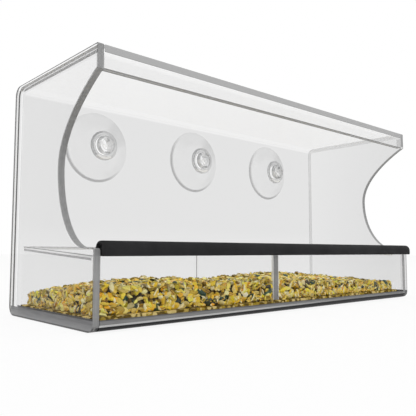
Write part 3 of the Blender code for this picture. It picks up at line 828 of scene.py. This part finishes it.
class Heap:
    """One compartment's fill, read from its CAD solid."""
    columns, rows = 68, 42

    def __init__(self, node):
        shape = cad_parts[node].data
        self.low, self.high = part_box(node)
        tree = BVHTree.FromPolygons([v.co.copy() for v in shape.vertices],
                                    [tuple(p.vertices) for p in shape.polygons])
        inset = 0.1 * MM
        self.xs = np.linspace(self.low.x + inset, self.high.x - inset, self.columns)
        self.ys = np.linspace(self.low.y + inset, self.high.y - inset, self.rows)
        sky = self.high.z + SHEET
        down = Vector((0, 0, -1))
        self.tops = np.array([[tree.ray_cast(Vector((x, y, sky)), down)[0].z for y in self.ys]
                              for x in self.xs])

    def top(self, x, y):
        """Height of the fill over points, between the four nearest that were read."""
        before_last = 1.001
        u = np.clip((x - self.xs[0]) / (self.xs[1] - self.xs[0]), 0, self.columns - before_last)
        v = np.clip((y - self.ys[0]) / (self.ys[1] - self.ys[0]), 0, self.rows - before_last)
        i, j = u.astype(int), v.astype(int)
        u, v = u - i, v - j
        near_side = self.tops[i, j] * (1 - u) + self.tops[i + 1, j] * u
        far_side = self.tops[i, j + 1] * (1 - u) + self.tops[i + 1, j + 1] * u
        return near_side * (1 - v) + far_side * v

    def slope(self, x, y):
        """Upward normals over points."""
        step = 2 * MM
        along = (self.top(x - step, y) - self.top(x + step, y)) / (2 * step)
        across = (self.top(x, y - step) - self.top(x, y + step)) / (2 * step)
        return unit(np.stack([along, across, np.ones_like(x)], 1))


def unit(rows):
    return rows / np.linalg.norm(rows, axis=1, keepdims=True)


def add_core(side, heap, material):
    """Solid middle of the heap, just under the loose seed."""
    inset, sink, foot = 0.8 * MM, 2.1 * MM, heap.low.z + 0.1 * MM
    wide, deep = 60, 36
    xs = np.linspace(heap.low.x + inset, heap.high.x - inset, wide)
    ys = np.linspace(heap.low.y + inset, heap.high.y - inset, deep)
    x, y = (part.ravel() for part in np.meshgrid(xs, ys))
    z = np.maximum(heap.top(x, y) - sink, foot + inset)
    points = np.concatenate([np.stack([x, y, z], 1), np.stack([x, y, np.full_like(x, foot)], 1)])
    half = len(x)
    faces = []
    for row in range(deep - 1):
        for a in range(row * wide, row * wide + wide - 1):
            faces.append((a, a + 1, a + wide + 1, a + wide))
            faces.append((half + a, half + a + wide, half + a + wide + 1, half + a + 1))
    ring = list(range(wide)) + [row * wide + wide - 1 for row in range(1, deep)]
    ring += list(range(half - 2, half - wide - 1, -1)) + [row * wide for row in range(deep - 2, 0, -1)]
    faces += [(a, half + a, half + b, b) for a, b in zip(ring, ring[1:] + ring[:1])]
    name = "seed_core_" + side
    add_piece(name, closed_mesh(name, points, faces), material, "tray", "seeds_" + side)


def strew(a, b, c, d, step):
    """Places over a to b and c to d, one to each square of about step."""
    across, along = max(1, round((b - a) / step)), max(1, round((d - c) / step))
    i, j = np.meshgrid(np.arange(across), np.arange(along), indexing="ij")
    u = (i + RNG.uniform(0.05, 0.95, i.shape)) / across
    v = (j + RNG.uniform(0.05, 0.95, j.shape)) / along
    return (a + u * (b - a)).ravel(), (c + v * (d - c)).ravel()


# Steps between loose seeds, how far two top layers sink, and about how tall the heap is along its
# walls, as a share of its whole height
FOOT_STEP, TOP_STEPS, WALL_STEP = 5.5 * MM, (3.6 * MM, 3.0 * MM), 2.5 * MM
TOP_SINKS = (2.2 * MM, 0.5 * MM)
WALL_HEIGHT = 0.75

# How much seeds lean, how far those against a wall turn from level, and how far up a seed's top has to
# face for it to turn any way
TOP_LEAN, WALL_LEAN = 0.34, 0.36
SPIN_SPREAD = math.radians(24)
LIES_LEVEL = 0.6

# How deep each seed sinks in, as a share of its thickness, how much its lightness varies, the
# brightest that a colour gets, and the shares of red, green and blue that every seed's colour keeps,
# which warm it as painted light bounced between the seeds
SINK_SHARE = 0.35
LIGHT_SPREAD = 0.23
BRIGHTEST = 0.92
WARMTH = np.array([1.0, 0.94, 0.70])


def seed_spots(heap):
    """Places for loose seeds: points, outward normals and how much each leans."""
    low, high = heap.low, heap.high
    sets = []

    def put(x, y, z, normals, lean):
        outward = np.broadcast_to(normals, (len(x), 3))
        sets.append((np.stack([x, y, z], 1), outward, np.full(len(x), lean)))

    def put_wall(x, y, share, normal):
        put(x, y, low.z + share * (heap.top(x, y) - low.z), normal, WALL_LEAN)

    x, y = strew(low.x, high.x, low.y, high.y, FOOT_STEP)
    put(x, y, np.full_like(x, low.z), (0, 0, -1), WALL_LEAN)
    tall = (high.z - low.z) * WALL_HEIGHT
    for edge, way in ((low.x, -1), (high.x, 1)):
        for reach in (WALL_STEP, tall):
            y, rise = strew(low.y, high.y, 0, reach, WALL_STEP)
            put_wall(np.full_like(y, edge), y, rise / tall, (way, 0, 0))
    for edge, way in ((low.y, -1), (high.y, 1)):
        for reach in (WALL_STEP, tall):
            x, rise = strew(low.x, high.x, 0, reach, WALL_STEP)
            put_wall(x, np.full_like(x, edge), rise / tall, (0, way, 0))
    for sink, step in zip(TOP_SINKS, TOP_STEPS):
        x, y = strew(low.x, high.x, low.y, high.y, step)
        put(x, y, heap.top(x, y) - sink, heap.slope(x, y), TOP_LEAN)
    return [np.concatenate(part) for part in zip(*sets)]


def turns(ups):
    """Turns that take Z to each of ups, spun round it at random, but lying down against a wall."""
    flat = np.abs(ups[:, 2:]) > LIES_LEVEL
    first = unit(np.cross(ups, np.where(flat, (1.0, 0.0, 0.0), (0.0, 0.0, 1.0))))
    any_way = RNG.uniform(0, math.tau, (len(ups), 1))
    spin = np.where(flat, any_way, RNG.normal(0, SPIN_SPREAD, (len(ups), 1)))
    along = first * np.cos(spin) + np.cross(ups, first) * np.sin(spin)
    return np.stack([along, np.cross(ups, along), ups], axis=2)


def keep_inside(points, heap):
    """Moves whole seeds so that none leaves the heap's box by more than the slack, or stands proud of
    its top, and sinks those that stand tall."""
    slack, tallest, proud = 0.3 * MM, 5 * MM, 1.1 * MM
    points[:, :, 2] -= np.clip(np.ptp(points[:, :, 2], axis=1) - tallest, 0, None)[:, None]
    low, high = points.min(1), points.max(1)
    for axis in (0, 1, 2):
        points[:, :, axis] += np.clip(heap.low[axis] - slack - low[:, axis], 0, None)[:, None]
        if axis < 2:
            points[:, :, axis] -= np.clip(high[:, axis] - heap.high[axis] - slack, 0, None)[:, None]
    middle = (low + high) / 2
    roof = heap.top(middle[:, 0], middle[:, 1]) + proud
    points[:, :, 2] -= np.clip(high[:, 2] - roof, 0, None)[:, None]


def add_seeds(side, materials):
    """Loose seeds over the whole skin of a heap, with one mesh to each kind."""
    heap = Heap("seeds_" + side)
    add_core(side, heap, materials["core"])
    points, normals, leans = seed_spots(heap)
    names = list(KINDS)
    shares = np.array([KINDS[name][0] for name in names])
    picks = RNG.choice(len(names), len(points), p=shares / shares.sum())
    for index, kind in enumerate(names):
        _, size, spread, colours = KINDS[kind]
        forms = kind_forms(kind)
        chosen = np.flatnonzero(picks == index)
        styles = RNG.integers(len(forms), size=len(chosen))
        store = {"points": [], "faces": [], "own": [], "tint": []}
        count = 0
        for style, (shape, faces) in enumerate(forms):
            rows = chosen[styles == style]
            if not len(rows):
                continue
            vary = np.clip(RNG.normal(0, spread, (len(rows), 3)), -2 * spread, 2 * spread)
            scale = np.array(size) * MM * (1 + vary)
            ups = unit(normals[rows] + RNG.normal(0, 1, (len(rows), 3)) * leans[rows, None])
            placed = np.einsum("nij,nvj->nvi", turns(ups), shape * scale[:, None])
            placed += (points[rows] - normals[rows] * scale[:, 2:] * SINK_SHARE)[:, None]
            keep_inside(placed, heap)
            steps = count + len(shape) * np.arange(len(rows))
            shades = np.array(colours)[RNG.integers(len(colours), size=(2, len(rows)))]
            shade = shades[0] + (shades[1] - shades[0]) * RNG.uniform(0, 0.5, (len(rows), 1))
            light = 1 + RNG.normal(0, LIGHT_SPREAD, (len(rows), 1))
            # Painted light: WARMTH warms each colour as if by light bounced between the seeds
            shade = np.clip(shade * light, 0, BRIGHTEST) * WARMTH
            store["points"].append(placed.reshape(-1, 3))
            store["faces"].append((faces + steps[:, None, None]).reshape(-1, 3))
            store["own"].append(np.tile(shape, (len(rows), 1)))
            opaque = np.hstack([shade, np.ones((len(rows), 1))])
            store["tint"].append(np.repeat(opaque, len(shape), axis=0))
            count += len(shape) * len(rows)
        name = kind + "_" + side
        made = {key: np.concatenate(value) for key, value in store.items()}
        add_piece(name, seed_mesh(name, made), materials[kind], "tray", "seeds_" + side)


def seed_mesh(name, made):
    mesh = bpy.data.meshes.new(name)
    mesh.vertices.add(len(made["points"]))
    mesh.vertices.foreach_set("co", made["points"].astype(np.float32).ravel())
    corners = made["faces"].astype(np.int32).ravel()
    mesh.loops.add(len(corners))
    mesh.loops.foreach_set("vertex_index", corners)
    mesh.polygons.add(len(made["faces"]))
    mesh.polygons.foreach_set("loop_start", np.arange(0, len(corners), 3, dtype=np.int32))
    mesh.update(calc_edges=True)
    own = mesh.attributes.new("own", "FLOAT_VECTOR", "POINT")
    own.data.foreach_set("vector", made["own"].astype(np.float32).ravel())
    tint = mesh.attributes.new("tint", "FLOAT_COLOR", "POINT")
    tint.data.foreach_set("color", made["tint"].astype(np.float32).ravel())
    return mesh


# Stage
FLOOR_GLOW = 0.88
FLOOR_SHADE = (0.90, 0.90, 0.90)
FLOOR_RADIUS, FLOOR_GAP = 6.0, 0.3 * MM
WORLD_LIGHT = 0.80

# Each lamp's place and power. Both are discs that face the seed
LAMPS = {"key": ((-0.7, -0.9, 1.1), 5.0), "fill": ((0.9, -0.5, 0.8), 2.0)}
LAMP_SIZE, LAMP_TARGET = 0.9, (0, 0, 0.05)


def add_floor():
    """Pale floor, nearly as bright as the background, that keeps a soft shadow."""
    s = Shader("pale_floor")
    ray = s.node("ShaderNodeLightPath").outputs
    seen = s.either(ray["Is Camera Ray"], ray["Is Glossy Ray"], ray["Is Transmission Ray"])
    s.set(Base_Color=FLOOR_SHADE, Roughness=0.9, Specular_IOR_Level=0.1)
    glow = s.node("ShaderNodeEmission", {"Color": (1, 1, 1), "Strength": 1.0})
    mixed = s.node("ShaderNodeMixShader")
    s.put(mixed.inputs[0], s.math("MULTIPLY", seen, FLOOR_GLOW))
    for place, light in ((1, s.surface.outputs[0]), (2, glow.outputs[0])):
        s.tree.links.new(light, mixed.inputs[place])
    s.tree.links.new(mixed.outputs[0], s.tree.nodes["Material Output"].inputs["Surface"])
    bm = bmesh.new()
    bmesh.ops.create_circle(bm, cap_ends=True, segments=64, radius=FLOOR_RADIUS)
    mesh = bpy.data.meshes.new("floor")
    bm.to_mesh(mesh)
    bm.free()
    mesh.materials.append(s.material)
    floor = bpy.data.objects.new("floor", mesh)
    floor.location = (0, 0, -FLOOR_GAP)
    bpy.context.scene.collection.objects.link(floor)


def add_world():
    """White to the camera and in reflections, and a softer white as light."""
    world = bpy.data.worlds.new("studio")
    bpy.context.scene.world = world
    world.use_nodes = True
    tree = world.node_tree
    ray = tree.nodes.new("ShaderNodeLightPath").outputs
    seen = ray["Is Camera Ray"]
    for other in ("Is Glossy Ray", "Is Transmission Ray"):
        most = tree.nodes.new("ShaderNodeMath")
        most.operation = "MAXIMUM"
        tree.links.new(seen, most.inputs[0])
        tree.links.new(ray[other], most.inputs[1])
        seen = most.outputs[0]
    strength = tree.nodes.new("ShaderNodeMapRange")
    tree.links.new(seen, strength.inputs[0])
    strength.inputs["To Min"].default_value = WORLD_LIGHT
    strength.inputs["To Max"].default_value = 1.0
    background = tree.nodes["Background"]
    background.inputs["Color"].default_value = (1, 1, 1, 1)
    tree.links.new(strength.outputs[0], background.inputs["Strength"])


def add_lamp(name, place, power):
    lamp = bpy.data.lights.new(name, "AREA")
    lamp.shape = "DISK"
    lamp.size = LAMP_SIZE
    lamp.energy = power
    made = bpy.data.objects.new(name, lamp)
    made.location = place
    made.rotation_euler = (Vector(LAMP_TARGET) - Vector(place)).to_track_quat("-Z", "Y").to_euler()
    bpy.context.scene.collection.objects.link(made)


def add_camera():
    data = bpy.data.cameras.new("camera")
    data.lens = CAMERA_LENS
    data.sensor_width = 36.0
    data.sensor_fit = "HORIZONTAL"
    data.clip_start = 0.01
    camera = bpy.data.objects.new("camera", data)
    turn = (Matrix.Rotation(-CAMERA_TURN, 4, "Z") @ Matrix.Rotation(math.pi / 2 + CAMERA_RISE, 4, "X")
            @ Matrix.Rotation(CAMERA_ROLL, 4, "Z"))
    camera.matrix_world = Matrix.Translation(CAMERA_PLACE) @ turn
    bpy.context.scene.collection.objects.link(camera)
    bpy.context.scene.camera = camera


scene = bpy.context.scene
scene.view_settings.view_transform = "Standard"
scene.cycles.transparent_max_bounces = 48
scene.cycles.max_bounces = 10
scene.cycles.diffuse_bounces = 4

add_camera()
add_floor()
add_world()
for lamp_name, (lamp_place, lamp_power) in LAMPS.items():
    add_lamp(lamp_name, lamp_place, lamp_power)
dress_cad()
add_perch()
soft_clear = vinyl()
for cup_place in ("left", "middle", "right"):
    add_cup(cup_place, soft_clear)
seed_looks = {kind: seed_material(kind) for kind in KINDS}
seed_looks["core"] = core_material()
for heap_side in ("left", "right"):
    add_seeds(heap_side, seed_looks)
